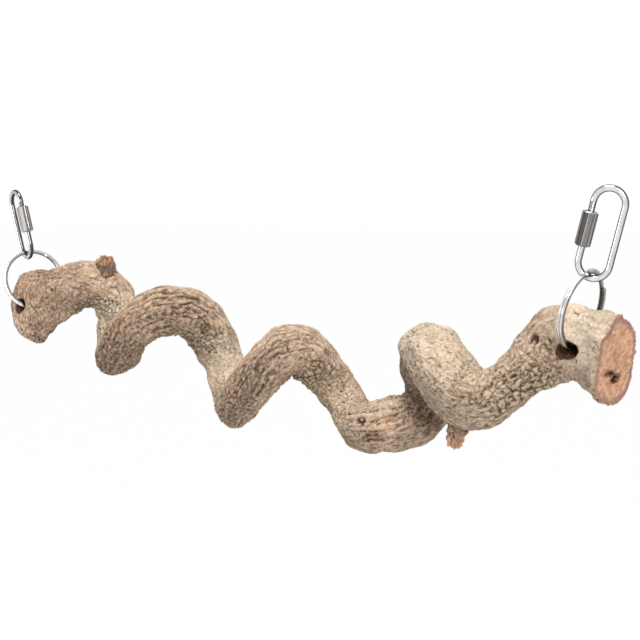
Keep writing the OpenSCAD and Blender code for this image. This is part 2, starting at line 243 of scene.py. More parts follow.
def spot(share, turn, place, round_at, along, across):
    """A soft round spot of height 1 on the unrolled bark, e^-(d/along)^2-(d/across)^2."""
    away = turn - round_at
    return np.exp(-((share - place) / along) ** 2 - ((away - np.round(away)) / across) ** 2)


def band(share, place, reach):
    """A soft band of height 1 all round the wood, e^-(d/reach)^2."""
    return np.exp(-((share - place) / reach) ** 2)


def wave(degrees):
    """The cosine of an angle given in degrees."""
    return np.cos(np.radians(degrees))


def wood_radius(r, u, a):
    """The solid's own radius, r times 1 plus lobes and lumps, which are cosines of
    three and five times the angle that wind along the wood, plus the knobs and the
    flares of the sawn end."""
    deg, row = np.degrees(a)[None], u[:, None]
    share = row / (len(COURSE) - 1)
    lobes = wave(3 * deg + LOBE_TWIST * row) + 0.5 * wave(5 * deg - 2 * LOBE_TWIST * row)
    lumps = wave(3 * deg + LUMP_TWISTS[0] * row - 90) + wave(5 * deg - LUMP_TWISTS[1] * row - 90)
    shape = 1 + LOBE_SHARE * lobes + LUMP_SHARE / 2 * lumps
    for place, round_at, height in np.vstack([KNOBS, FLARES]):
        shape = shape + height * spot(share, deg / 360, place, round_at, KNOB_ALONG, KNOB_ROUND)
    return r[:, None] * shape


def course_at(u):
    """Uniform cubic B-spline through the neighbourhood of the rows, at places u
    counted in rows; the end rows are mirrored so that it starts and ends on them."""
    q = np.vstack([2 * COURSE[0] - COURSE[1], COURSE, 2 * COURSE[-1] - COURSE[-2]])
    i = np.clip(u.astype(int), 0, len(COURSE) - 2)
    t = (u - i)[:, None]
    a, b, c, d = (q[i + k] for k in range(4))
    return ((1 - t) ** 3 * a + (3 * t**3 - 6 * t**2 + 4) * b
            + (-3 * t**3 + 3 * t**2 + 3 * t + 1) * c + t**3 * d) / 6


def even_course(spacing):
    """Places u at even distances along the wood, and those distances."""
    dense = np.linspace(0, len(COURSE) - 1, 60 * len(COURSE))
    p = course_at(dense)[:, :3] * [BRANCH_L, COIL_R, COIL_R]
    run = np.concatenate([[0], np.cumsum(np.linalg.norm(np.diff(p, axis=0), axis=1))])
    s = np.linspace(0, run[-1], int(run[-1] / spacing) + 1)
    return np.interp(s, run, dense), s


def carried(t, first):
    """A normal carried along the headings t, turned no more than they make it."""
    normals = np.empty_like(t)
    normals[0] = unit(reject(first, t[0]))
    for i in range(1, len(t)):
        normals[i] = unit(reject(normals[i - 1], t[i]))
    return normals


# Meshes
def grid_faces(rows, sides, close=False):
    """Four-cornered faces of a grid: wrapped round its sides, and its last row
    joined to its first where close is set."""
    i = np.arange(rows if close else rows - 1)[:, None]
    j = np.arange(sides)[None]
    i2, j2 = (i + 1) % rows, (j + 1) % sides
    corners = [i * sides + j, i * sides + j2, i2 * sides + j2, i2 * sides + j]
    return np.stack([np.broadcast_to(c, (i.size, j.size)) for c in corners], -1).reshape(-1, 4)


def make_piece(name, points, faces, body, material, marks, sharp=None):
    """A mesh object at the origin from points in millimetres and faces, with a
    number or a place for each point under each name in marks. It is smooth but for
    the edges that are sharper than the angle given."""
    mesh = bpy.data.meshes.new(name)
    mesh.from_pydata((points * MM).tolist(), [], [tuple(f) for f in faces])
    for mark, values in marks.items():
        values = np.asarray(values, np.float32)
        if values.ndim == 2:
            mesh.attributes.new(mark, "FLOAT_VECTOR", "POINT").data.foreach_set("vector", values.ravel())
        else:
            mesh.attributes.new(mark, "FLOAT", "POINT").data.foreach_set("value", values)
    mesh.polygons.foreach_set("use_smooth", np.ones(len(mesh.polygons), bool))
    if sharp:
        mesh.set_sharp_from_angle(angle=np.radians(sharp))
    mesh.materials.append(material)
    mesh.validate()
    mesh.update()
    piece = bpy.data.objects.new(name, mesh)
    bpy.context.scene.collection.objects.link(piece)
    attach(piece, body)
    return piece


def fan(first, sides, centre, flip=False):
    """Three-cornered faces from one row of a grid to a point at its middle."""
    j = np.arange(sides)
    a, b = first + j, first + (j + 1) % sides
    return [(centre, q, p) if flip else (centre, p, q) for p, q in zip(a.tolist(), b.tolist())]


def closed_tube(grid):
    """Points and outward faces of a grid wrapped round its sides, with each end row
    closed by a fan to its middle."""
    rows, sides = grid.shape[:2]
    points = np.vstack([grid.reshape(-1, 3), grid[0].mean(0), grid[-1].mean(0)])
    faces = grid_faces(rows, sides)[:, ::-1].tolist()
    faces += fan(0, sides, rows * sides) + fan((rows - 1) * sides, sides, rows * sides + 1, flip=True)
    return points, faces


# Materials
class Paint:
    """The nodes of a material or of the studio's air."""

    def __init__(self, owner):
        self.owner = owner
        owner.use_nodes = True
        self.tree = owner.node_tree
        self.tree.nodes.clear()

    def feed(self, socket, value):
        """Links a socket to another one, or sets it to a number or colour."""
        if isinstance(value, bpy.types.NodeSocket):
            self.tree.links.new(value, socket)
        else:
            socket.default_value = value

    def node(self, kind, inputs=None, **settings):
        """A new node with its settings and with its inputs fed."""
        n = self.tree.nodes.new("ShaderNode" + kind)
        for key, value in settings.items():
            setattr(n, key, value)
        for key, value in (inputs or {}).items():
            self.feed(n.inputs[key], value)
        return n

    def mark(self, name):
        """The numbers or places that a piece's mesh holds under a name."""
        return self.node("Attribute", attribute_name=name)

    def noise(self, where, scale, detail=4.0, roughness=0.55, distortion=0.0):
        """Cloudy noise from 0 to 1."""
        return self.node("TexNoise", {"Vector": where, "Scale": scale, "Detail": detail,
                                      "Roughness": roughness, "Distortion": distortion}).outputs["Fac"]

    def cracks(self, where, scale):
        """Distance to the borders of scattered cells."""
        return self.node("TexVoronoi", {"Vector": where, "Scale": scale},
                         feature="DISTANCE_TO_EDGE").outputs["Distance"]

    def ramp(self, value, low, high, to_low=0.0, to_high=1.0):
        """to_low below low, to_high above high, and a smooth step between."""
        return self.node("MapRange", {"Value": value, "From Min": low, "From Max": high,
                                      "To Min": to_low, "To Max": to_high},
                         interpolation_type="SMOOTHSTEP").outputs["Result"]

    def mix(self, share, a, b):
        """Colour a where share is 0 and colour b where it is 1."""
        n = self.node("Mix", data_type="RGBA")
        for key, value in (("Factor", share), ("A", a), ("B", b)):
            self.feed(next(s for s in n.inputs if s.name == key and s.enabled), value)
        return next(s for s in n.outputs if s.enabled)

    def math(self, operation, a, b=0.0, c=0.0):
        """A sum, product or the like of up to three numbers."""
        return self.node("Math", {0: a, 1: b, 2: c}, operation=operation).outputs[0]

    def finish(self, **inputs):
        """Gives the surface its shader, and gives the material."""
        shader = self.node("BsdfPrincipled", {k.replace("_", " "): v for k, v in inputs.items()})
        self.node("OutputMaterial", {"Surface": shader.outputs[0]})
        return self.owner


def colour(r, g, b):
    """A colour given as its screen values out of 255, made linear."""
    c = np.array([r, g, b]) / 255
    c = np.where(c <= 0.04045, c / 12.92, ((c + 0.055) / 1.055) ** 2.4)
    return (*c.tolist(), 1.0)


# The marks that the bark's colours follow, and its finest relief in metres
BARK_MARKS = ("crease_shade_and_crack", "crest", "cork", "pale", "warm", "mauve_and_shade", "sawn", "rim_and_shade", "pith", "broken")
CHINKS_A_METRE, CHINK_SHAKE, BARK_GRAIN_M = 430, 0.0022, 0.0014


def bark_material():
    """Bark whose colour follows the marks on its mesh: brown to pale tan, olive cork,
    orange and mauve patches (the mauve partly painted shade), pale ridges that are
    painted highlight and dark creases that are painted shade; then sawn wood with its
    edge band, widened on one side by painted shade, and pith, and the broken wood of twigs."""
    p = Paint(bpy.data.materials.new("vine_bark"))
    grain = p.mark("grain").outputs["Vector"]
    crease_shade_and_crack, crest, cork, pale, warm, mauve_and_shade, sawn, rim_and_shade, pith, broken = (
        p.mark(name).outputs["Fac"] for name in BARK_MARKS)
    place = p.node("TexCoord").outputs["Object"]
    long_grain = p.node("Mapping", {"Vector": grain, "Scale": (0.22, 1, 1)}).outputs[0]

    blotch = p.ramp(p.noise(place, 90, 5, 0.6), 0.35, 0.65)
    mottle = p.noise(place, 330, 4, 0.6)
    streak = p.noise(long_grain, 900, 4, 0.6, 0.4)
    grit = p.noise(place, 1000, 5, 0.75)
    even_grit = p.ramp(grit, 0.35, 0.65)
    brown = p.mix(blotch, colour(172, 139, 114), colour(200, 167, 140))
    tan = p.mix(blotch, colour(190, 167, 141), colour(211, 192, 168))
    base = p.mix(pale, brown, tan)
    # Cork, orange and mauve patches; the mauve is in part painted shade on the coils and arches that lie
    # in shade
    for mark, most, dark_tone, light_tone in (
            (cork, 0.75, (104, 88, 68), (156, 135, 108)), (warm, 0.75, (184, 126, 88), (222, 168, 126)),
            (mauve_and_shade, 0.8, (96, 73, 61), (141, 112, 95))):
        patch = p.mix(even_grit, colour(*dark_tone), colour(*light_tone))
        base = p.mix(p.math("MULTIPLY", mark, most), base, patch)
    # Light and dark flecks; the streak and grit noises are also the bump's height below, so their flecks
    # are partly painted highlight on the raised grain and painted shade in its lows
    for value, start, end, most, tone in (
            (mottle, 0.55, 0.75, 0.35, (226, 206, 180)), (mottle, 0.48, 0.28, 0.5, (132, 102, 78)),
            (streak, 0.55, 0.8, 0.3, (228, 206, 178)), (streak, 0.45, 0.25, 0.35, (124, 94, 70)),
            (grit, 0.53, 0.66, 0.5, (240, 220, 194)), (grit, 0.48, 0.34, 0.6, (118, 86, 62))):
        base = p.mix(p.ramp(value, start, end, 0.0, most), base, colour(*tone))
    shake = p.node("TexNoise", {"Vector": place, "Scale": 500.0, "Detail": 2.0}).outputs["Color"]
    shaken = p.node("VectorMath", {0: shake, 1: [CHINK_SHAKE] * 3, 2: place}, operation="MULTIPLY_ADD")
    chinks = p.ramp(p.cracks(shaken.outputs[0], CHINKS_A_METRE), 0.0, 0.11, 1.0, 0.0)
    chinks = p.math("MULTIPLY", chinks, p.ramp(p.noise(place, 160, 3), 0.38, 0.6))
    base = p.mix(p.math("MULTIPLY", chinks, 0.5), base, colour(98, 70, 50))
    # Painted highlight on the ridge tops, with the real bleaching, and painted shade in the creases,
    # cracks and pits, with the real dark spots
    base = p.mix(p.math("MULTIPLY", crest, 0.46), base, colour(238, 218, 192))
    base = p.mix(p.math("MULTIPLY", crease_shade_and_crack, 0.92), base, colour(78, 53, 38))

    cloud = p.ramp(p.noise(place, 420, 5, 0.65), 0.35, 0.62)
    ends = p.mix(cloud, colour(211, 151, 117), colour(243, 198, 164))
    ends = p.mix(p.ramp(p.noise(place, 2200, 2), 0.52, 0.7, 0.0, 0.6), ends, colour(240, 200, 168))
    ends = p.mix(p.ramp(p.noise(place, 1300, 4, 0.7), 0.46, 0.3, 0.0, 0.75), ends, colour(156, 98, 70))
    # The edge band of the sawn face, widened towards the front by painted shade
    ends = p.mix(rim_and_shade, ends, p.mix(mottle, colour(156, 122, 118), colour(208, 156, 136)))
    fray = p.math("MULTIPLY_ADD", p.noise(place, 1400, 4, 0.7), 1.3, -0.65)
    frayed = p.math("ADD", pith, fray)
    ends = p.mix(p.ramp(frayed, 0.16, 0.42, 0.0, 0.85), ends, colour(122, 70, 44))
    ends = p.mix(p.ramp(frayed, 0.48, 0.75), ends, colour(38, 22, 14))
    base = p.mix(sawn, base, ends)
    splinter = p.mix(p.ramp(streak, 0.3, 0.7), colour(168, 120, 88), colour(238, 192, 154))
    base = p.mix(broken, base, splinter)

    height = p.math("ADD", p.math("MULTIPLY", streak, 0.6), p.math("MULTIPLY", grit, 0.9))
    height = p.math("MULTIPLY_ADD", chinks, -0.3, height)
    bump = p.node("Bump", {"Height": height, "Strength": 1.0, "Distance": BARK_GRAIN_M})
    return p.finish(Base_Color=base, Roughness=0.86, Normal=bump.outputs[0], Specular_IOR_Level=0.25)


def steel_material(name, bright, dark_reflection_and_dull, roughness, brushed):
    """Bright plated steel: painted reflection, dark where a mark on its mesh is low
    and bright where it is high; a little uneven in gloss and duller in random
    patches, with faint marks of drawing."""
    p = Paint(bpy.data.materials.new(name))
    place = p.node("TexCoord").outputs["Object"]
    cloud = p.noise(place, 260, 4, 0.6)
    scratch = p.noise(p.node("Mapping", {"Vector": place, "Scale": brushed}).outputs[0], 3000, 3, 0.6)
    gloss = p.math("ADD", p.ramp(cloud, 0.3, 0.7, roughness * 0.6, roughness * 1.3),
                   p.ramp(scratch, 0.5, 0.8, 0.0, 0.06))
    # Painted reflection: the dark and bright tones by the mark; then random duller patches
    metal = p.mix(p.mark("painted_reflection").outputs["Fac"], colour(*dark_reflection_and_dull), colour(*bright))
    metal = p.mix(p.ramp(cloud, 0.35, 0.75, 0.0, 0.3), metal, colour(*dark_reflection_and_dull))
    bump = p.node("Bump", {"Height": scratch, "Strength": 0.12, "Distance": 0.00005})
    return p.finish(Base_Color=metal, Metallic=1.0, Roughness=gloss, Normal=bump.outputs[0],
                    Specular_Tint=(0.35, 0.35, 0.36, 1.0))


BARK = bark_material()
WIRE_STEEL = steel_material("ring_wire_steel", (222, 222, 223), (118, 117, 115), 0.16, (1, 1, 1))
ROD_STEEL = steel_material("link_rod_steel", (232, 232, 232), (88, 88, 88), 0.13, (1, 1, 0.2))
SLEEVE_STEEL = steel_material("sleeve_steel", (214, 212, 210), (88, 84, 81), 0.2, (1, 1, 0.15))


# Wood
SIDES, SPACING, CAP_RINGS = 180, 0.45, 44
SAW_SLANT, SAW_REACH = 0.2, 24.0

# On the inside of a bend, as shares of the bend's radius, the skin goes freely to
# the first and then softly no more than the second beyond it
FREE_SHARE, SOFT_SHARE = 0.7, 0.22

# Radius of the straight pole that the bark is laid on for its noise
POLE_R = 13.0


def wood_grid():
    """The barkless form: at each place of the course the solid's lobed and knobbed
    circle, squeezed along the hole of its own end, and held back on the inside of
    bends that are tighter than the wood is thick. The right end is sawn aslant:
    the rows near it are drawn back towards the front by a share of their depth.
    It gives the points, their places on the straight pole, how far inside a bend
    they lie, and the places, angles and headings of the rows and sides."""
    u, s = even_course(SPACING)
    rows = course_at(u)
    path = LEFT.hole + rows[:, :3] * [BRANCH_L, COIL_R, COIL_R]
    heading = unit(np.gradient(path, axis=0))
    normal = carried(heading, np.array([0.0, -1.0, 0.0]))
    binormal = np.cross(heading, normal)
    r, flat = rows[:, 3] * STEM_R, rows[:, 4]
    a = np.linspace(0, 2 * np.pi, SIDES, endpoint=False)
    w = wood_radius(r, u, a)
    v = w[..., None] * (np.cos(a)[:, None] * normal[:, None] + np.sin(a)[:, None] * binormal[:, None])
    squeeze = np.where((u < len(COURSE) / 2)[:, None], LEFT.front, RIGHT.front)
    squeeze = unit(reject(squeeze, heading))[:, None]
    v = v - flat[:, None, None] * (v * squeeze).sum(-1, keepdims=True) * squeeze
    bend = np.gradient(heading, axis=0) / np.gradient(s)[:, None]
    inward = (v * bend[:, None]).sum(-1)
    beyond = SOFT_SHARE * np.tanh((inward - FREE_SHARE) / SOFT_SHARE)
    held = np.where(inward > FREE_SHARE, FREE_SHARE + beyond, inward)
    strength = np.linalg.norm(bend, axis=1)
    towards = unit(bend + 1e-12)[:, None]
    push = ((held - inward) / np.maximum(strength, 1e-6)[:, None])[..., None] * towards
    inside = (v * towards).sum(-1) / r[:, None] * smoothstep(0.012, 0.04, strength)[:, None]
    p = path[:, None] + v + push
    depth = (p * RIGHT.drill).sum(-1)
    drawn = SAW_SLANT * (depth[-1].max() - depth).clip(0) * smoothstep(SAW_REACH, 0, s[-1] - s)[:, None]
    p = p - drawn[..., None] * heading[-1]
    run = np.broadcast_to(s[:, None], w.shape)
    grain = np.stack([run, POLE_R * np.cos(a) + 0 * w, POLE_R * np.sin(a) + 0 * w], -1)
    return p, grain, inside, u, a, heading


def grid_normals(p):
    """Outward unit normals of a grid that is wrapped round its sides: the step
    round it crossed with the step along it."""
    along = np.gradient(p, axis=0)
    around = np.roll(p, -1, 1) - np.roll(p, 1, 1)
    return unit(np.cross(around, along))


def puffed(n):
    """Full cushions, tanh(4|n|), parted by a sharp crease wherever n is nought."""
    return np.tanh(4 * np.abs(n))


def blurred(h, reach):
    """Mean of a grid over a square window, from sums taken along both ways; the
    grid is wrapped round its sides and its end rows are repeated."""
    padded = np.pad(h, ((reach + 1, reach), (0, 0)), "edge")
    padded = np.pad(padded, ((0, 0), (reach + 1, reach)), "wrap")
    total, w = padded.cumsum(0).cumsum(1), 2 * reach + 1
    return (total[w:, w:] - total[:-w, w:] - total[w:, :-w] + total[:-w, :-w]) / w**2


# Marks that the bark has in single places: where along and round, how far each
# spreads, then how orange, how mauve, and how dark and deep it is. The mauve is
# in part painted shade on the coils and arches that lie in shade.
MARKS = [
    (0.050, 0.27, 0.020, 0.09, 0.0, 0.9, 0.2), (0.500, 0.30, 0.030, 0.10, 0.0, 0.0, 0.3),
    (0.045, 0.91, 0.022, 0.08, 0.5, 0.1, 0.0), (0.066, 0.76, 0.009, 0.08, 0.1, 0.5, 0.5),
    (0.240, 0.38, 0.030, 0.24, 0.0, 1.0, 0.2), (0.315, 0.25, 0.032, 0.13, 0.0, 0.8, 0.2),
    (0.266, 0.22, 0.022, 0.05, 0.9, 0.3, 0.0), (0.345, 0.33, 0.008, 0.05, 0.0, 0.0, 0.7),
    (0.462, 0.54, 0.012, 0.06, 0.9, 0.0, 0.0), (0.455, 0.68, 0.022, 0.14, 0.0, 0.9, 0.1),
    (0.480, 0.66, 0.026, 0.12, 0.0, 0.9, 0.2), (0.506, 0.60, 0.020, 0.09, 0.0, 0.8, 0.1),
    (0.651, 0.81, 0.004, 0.03, 0.2, 0.0, 0.9), (0.657, 0.92, 0.009, 0.05, 0.4, 0.4, 0.4),
    (0.668, 0.84, 0.012, 0.05, 0.6, 0.0, 0.0), (0.745, 0.61, 0.050, 0.07, 0.2, 1.0, 0.1),
    (0.693, 0.84, 0.013, 0.19, 0.3, 1.0, 0.1), (0.924, 0.40, 0.005, 0.025, 0.3, 0.2, 1.0),
    (0.930, 0.50, 0.014, 0.07, 0.3, 0.0, 0.1), (0.945, 0.30, 0.010, 0.04, 0.6, 0.0, 0.0),
    (0.074, 0.86, 0.016, 0.08, 0.1, 0.7, 0.0), (0.303, 0.41, 0.022, 0.07, 0.0, 0.9, 0.0),
    (0.985, 0.62, 0.010, 0.09, 0.2, 0.6, 0.0)]

# Bands all round the wood: the quiet limbs with their place and reach, and the
# bleached ones, with how bleached they are too
LIMBS = ((0.40, 0.028), (0.60, 0.03))
BLEACHED = ((0.78, 0.05, 0.5), (0.40, 0.028, 0.8), (0.175, 0.025, 0.9))

# Spots on one side: the clods under the right dip and the unbleached underside of
# the right end, with place along and round and reach both ways
CLODDED, UNDERSIDE = (0.89, 0.55, 0.045, 0.18), (0.97, 0.70, 0.1, 0.12)

# Sizes of the bark's forms along the grain and across it
RIB_SIZE, THIN_RIB_SIZE, FOLD_SIZE = (26, 3.8, 3.8), (12, 2.0, 2.0), (3.6, 2.8, 2.8)
CLOD_SIZE, PEBBLE_SIZE, CRUMB_SIZE = (3.6, 3.1, 3.1), (3.9, 3.3, 3.3), (1.7, 1.35, 1.35)
WORM_SIZE, PIT_SIZE = (5.5, 3.6, 3.6), (2.0, 1.3, 1.3)
SWELL_SIZE, SCALLOP_SIZE = (7, 5, 5), (9, 2.2, 2.2)
PATCH_SIZES = dict(cork=(16, 12, 12), ribbed=(20, 10, 10), worm=(12, 9, 9), rough=(10, 7, 7))

# Heights of the forms, and depths of the marks that lie low
RIB_H, THIN_RIB_H, PEBBLE_H, CLOD_H, SCALLOP_H = 0.6, 0.22, 0.75, 1.2, 1.5
WORM_DEPTH, PIT_DEPTH, MARK_DEPTH = 0.4, 0.35, 1.1


def bark_relief(grain, inside, u, a):
    """Height of the bark in millimetres and its marks, from noise on the straight
    pole. The outer sides of the bends have long wavy ribs, the inner sides pebbled
    cork, the right dip clods, and all of it fine folds, with short wandering cracks
    and pits on the quiet limbs. A point that lies lower than the mean round it is
    a crease, marked for painted shade with the cracks, pits and dark spots, and one
    that lies higher a ridge top, marked for painted highlight with the bleached bands."""
    q = grain.reshape(-1, 3)
    shape = grain.shape[:2]
    inside = inside.ravel()
    share = np.repeat(u / (len(COURSE) - 1), shape[1])
    turn = np.tile(a / (2 * np.pi), shape[0])
    warp = np.stack([noise(q / 6, 40 + k) for k in range(3)], -1)
    warp_fine = np.stack([noise(q / 2.2, 44 + k) for k in range(3)], -1)
    bent = q + 1.3 * warp + 0.5 * warp_fine

    limbs = sum(band(share, place, reach) for place, reach in LIMBS)
    right = smoothstep(0.64, 0.72, share)
    quiet = np.clip(right + limbs, 0, 1)
    cork = smoothstep(0.0, 0.55, inside + 0.45 * noise(q / PATCH_SIZES["cork"], 3))
    cork = cork * (1 - 0.8 * quiet)
    ribbed = smoothstep(0.5, -0.1, inside + 0.35 * noise(q / PATCH_SIZES["ribbed"], 4))
    ribbed = ribbed * (1 - 0.85 * quiet)
    ribbed = ribbed * mixed(0.35, 1.0, smoothstep(0.20, 0.28, share))
    clodded = spot(share, turn, *CLODDED)
    bleached = smoothstep(0.93, 0.955, share) * (1.3 - 1.1 * spot(share, turn, *UNDERSIDE))
    for place, reach, most in BLEACHED:
        bleached = bleached + most * band(share, place, reach)

    ribs = puffed(layered((q + 1.6 * warp) / RIB_SIZE, 2, 2))
    thin_ribs = puffed(noise((q + 0.9 * warp) / THIN_RIB_SIZE, 12))
    folds = puffed(layered(bent / FOLD_SIZE, 2, 13))
    clods = np.tanh(3 * cells((bent + 0.9 * warp_fine) / CLOD_SIZE, 31))
    pebbles = smoothstep(0.0, 0.45, cells(bent / PEBBLE_SIZE, 5))
    worm = smoothstep(0.09, 0.02, np.abs(noise(bent / WORM_SIZE, 6)))
    worm = worm * smoothstep(0.05, 0.4, noise(q / PATCH_SIZES["worm"], 7))
    pits = smoothstep(0.3, 0.6, noise((q + 0.6 * warp_fine) / PIT_SIZE, 8))
    pits = pits * (0.4 + 0.6 * quiet) * (1 - 0.6 * bleached)
    crumbs = puffed(0.8 * layered((q + 0.5 * warp_fine) / CRUMB_SIZE, 2, 18))
    rough = mixed(0.6, 1.1, smoothstep(-0.3, 0.4, noise(q / PATCH_SIZES["rough"], 19)))

    orange, mauve_and_shade, dark = np.zeros((3, len(q)))
    uneven = 1 + 0.9 * noise((q + warp_fine) / 1.7, 15)
    for place, round_at, along, across, *depths in MARKS:
        blot = smoothstep(0.2, 0.85, spot(share, turn, place, round_at, along, across) * uneven)
        orange, mauve_and_shade, dark = np.maximum((orange, mauve_and_shade, dark), np.outer(depths, blot))
    height = (ribbed * (RIB_H * (ribs - 0.75) + THIN_RIB_H * (thin_ribs - 0.75))
              + cork * PEBBLE_H * (pebbles - 0.75) + clodded * CLOD_H * (clods - 0.75)
              + mixed(0.42, 0.26, quiet) * (folds - 0.75)
              + mixed(0.5, 0.38, quiet) * rough * (crumbs - 0.6)
              - WORM_DEPTH * worm - PIT_DEPTH * pits - MARK_DEPTH * dark
              + mixed(0.25, 0.6, bleached) * noise(q / SWELL_SIZE, 9))
    low = (height.reshape(shape) - blurred(height.reshape(shape), 4)).ravel()
    scallop = smoothstep(0.993, 1.0, share) * SCALLOP_H
    height = height + scallop * (puffed(noise(q / SCALLOP_SIZE, 24)) - 0.7)
    orange = np.maximum(orange, 0.8 * smoothstep(0.9955, 0.999, share))
    # Painted shade: the creases, worm cracks and pits are marked dark, with the dark spots
    crease_shade_and_crack = np.clip(smoothstep(0.1, 0.55, -low) + 0.3 * worm + 0.4 * pits + 0.8 * dark, 0, 1)
    pale = mixed(0.1, 0.5, smoothstep(0.3, 0.7, share))
    pale = pale + 0.4 * limbs * (share < 0.5) + 0.5 * band(share, 0.78, 0.06)
    pale = np.clip(pale + 0.4 * smoothstep(0.93, 0.96, share), 0, 1) * (1 - 0.5 * dark)
    # Ridge tops are marked light as painted highlight, and the bleached bands are added to them
    marks = dict(crease_shade_and_crack=crease_shade_and_crack, crest=smoothstep(0.02, 0.2, low) + bleached,
                 cork=np.maximum(cork, clodded), pale=pale, warm=orange, mauve_and_shade=mauve_and_shade)
    return height.reshape(shape), marks


# Pith of the right sawn face, across and up from its middle: the heart and a trail
# beside it, with the reach of each both ways, and how deep the heart is
HEART_AT, HEART_REACH, HEART_DEPTH = (5.0, -9.0), (2.9, 2.4), 1.6
TRAIL_AT, TRAIL_REACH = (0.8, -6.6), (3.6, 1.7)

# Round a hole the bark goes smooth, from the second distance down to the first,
# and all of it stays a little inside the solids' box
SMOOTH_NEAR, SMOOTH_FAR, SMOOTH_LOW, BOX_MARGIN = 12, 17, -0.15, 0.05


def soft_oval(x, z, at, reach):
    """A soft oval of height 1 on a flat face, e^-(dx/reach)^2-(dz/reach)^2."""
    return np.exp(-((x - at[0]) / reach[0]) ** 2 - ((z - at[1]) / reach[1]) ** 2)


def sawn_face(ring, seed):
    """Rings that shrink evenly to the middle of a sawn end, the shares of the way
    out that they stand at, and the roughness of the saw's strokes in millimetres."""
    share = np.linspace(1, 0, CAP_RINGS + 1)[1:-1]
    rings = ring.mean(0) + share[:, None, None] * (ring - ring.mean(0))
    flat = rings.reshape(-1, 3)
    rough = 0.16 * layered(flat / 2.6, 3, seed) + 0.12 * noise(flat / [1.2, 30, 1.2], seed + 1) - 0.15
    return rings, share, rough.reshape(rings.shape[:2])


def pith_and_rim(rings, share, middle, heading):
    """Marks of the right sawn face: the pith is a soft oval with a trail beside it,
    torn by noise, and the outer edge a ragged band, wider towards the front, where
    the widening is painted shade.
    The heart of the pith comes too, because it is hollow."""
    across = unit(reject(np.array([0.0, 1.0, 0.0]), heading))
    rel = rings - middle
    x, z = (rel * across).sum(-1), (rel * np.cross(heading, across)).sum(-1)
    flat = rel.reshape(-1, 3)
    heart = soft_oval(x, z, HEART_AT, HEART_REACH)
    trail = soft_oval(x, z, TRAIL_AT, TRAIL_REACH)
    torn = 1 + 0.7 * layered(flat / [1.6, 1.0, 1.0], 2, 26).reshape(x.shape)
    ragged = 0.03 * noise(flat / 2.5, 23).reshape(x.shape)
    # The band widens towards the front; that widening is painted shade
    rim_and_shade = smoothstep(0.82, 0.93, share[:, None] + 0.07 * smoothstep(0, -8, x) + ragged)
    return heart, np.maximum(heart, 0.8 * trail) * torn, rim_and_shade


def make_lengths(grid, marks):
    """The wood's grid as three closed lengths that meet face to face."""
    cuts = np.linspace(0, len(grid) - 1, 4).astype(int)
    lengths = {}
    for side, first, last in zip(("left", "middle", "right"), cuts[:-1], cuts[1:]):
        part = slice(first, last + 1)
        points, faces = closed_tube(grid[part])
        own = {}
        for name, values in marks.items():
            values = values[part]
            own[name] = np.concatenate([values.reshape(-1, *values.shape[2:]), values[[0, -1], 0]])
        length = make_piece("vine_wood_" + side, points, faces, "branch", BARK, own, sharp=75)
        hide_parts("branch")
        lengths[side] = length
    return lengths


def make_wood():
    """The barked wood with its two sawn ends, as one grid: the rings of the left end
    from its middle out, the wood, each point moved along its normal by the bark's
    height, and the rings of the right end inwards."""
    p, grain, inside, u, a, heading = wood_grid()
    height, marks = bark_relief(grain, inside, u, a)
    near_hole = np.minimum(*(np.linalg.norm(p - end.hole, axis=-1) for end in (LEFT, RIGHT)))
    smoothed = mixed(SMOOTH_LOW, height, smoothstep(SMOOTH_NEAR, SMOOTH_FAR, near_hole))
    height = np.where(near_hole < SMOOTH_FAR, np.minimum(height, smoothed), height)
    q = p + height[..., None] * grid_normals(p)
    low_corner, high_corner = np.array(cad_box) / MM
    q = np.clip(q, low_corner + BOX_MARGIN, high_corner - BOX_MARGIN)

    left_rings, _, left_rough = sawn_face(q[0], 30)
    right_rings, share, right_rough = sawn_face(q[-1], 20)
    heart, pith, rim_and_shade = pith_and_rim(right_rings, share, q[-1].mean(0), heading[-1])
    hollow = HEART_DEPTH * smoothstep(0.5, 0.9, heart)
    left_rings = left_rings - left_rough[..., None] * heading[0]
    right_rings = right_rings + (right_rough - hollow)[..., None] * heading[-1]
    grid = np.concatenate([left_rings[::-1], q, right_rings])

    bare, none = np.ones_like(rim_and_shade), np.zeros_like(rim_and_shade)
    on_faces = dict(sawn=(bare, bare), rim_and_shade=(rim_and_shade[::-1], rim_and_shade), pith=(none, pith))
    full = {}
    for name in BARK_MARKS:
        left, right = on_faces.get(name, (none, none))
        body = marks[name].reshape(height.shape) if name in marks else 0 * height
        full[name] = np.concatenate([left, body, right])
    caps = (len(share), 1, 1)
    full["grain"] = np.concatenate([np.tile(grain[:1], caps), grain, np.tile(grain[-1:], caps)]) * MM
    return make_lengths(grid, full)


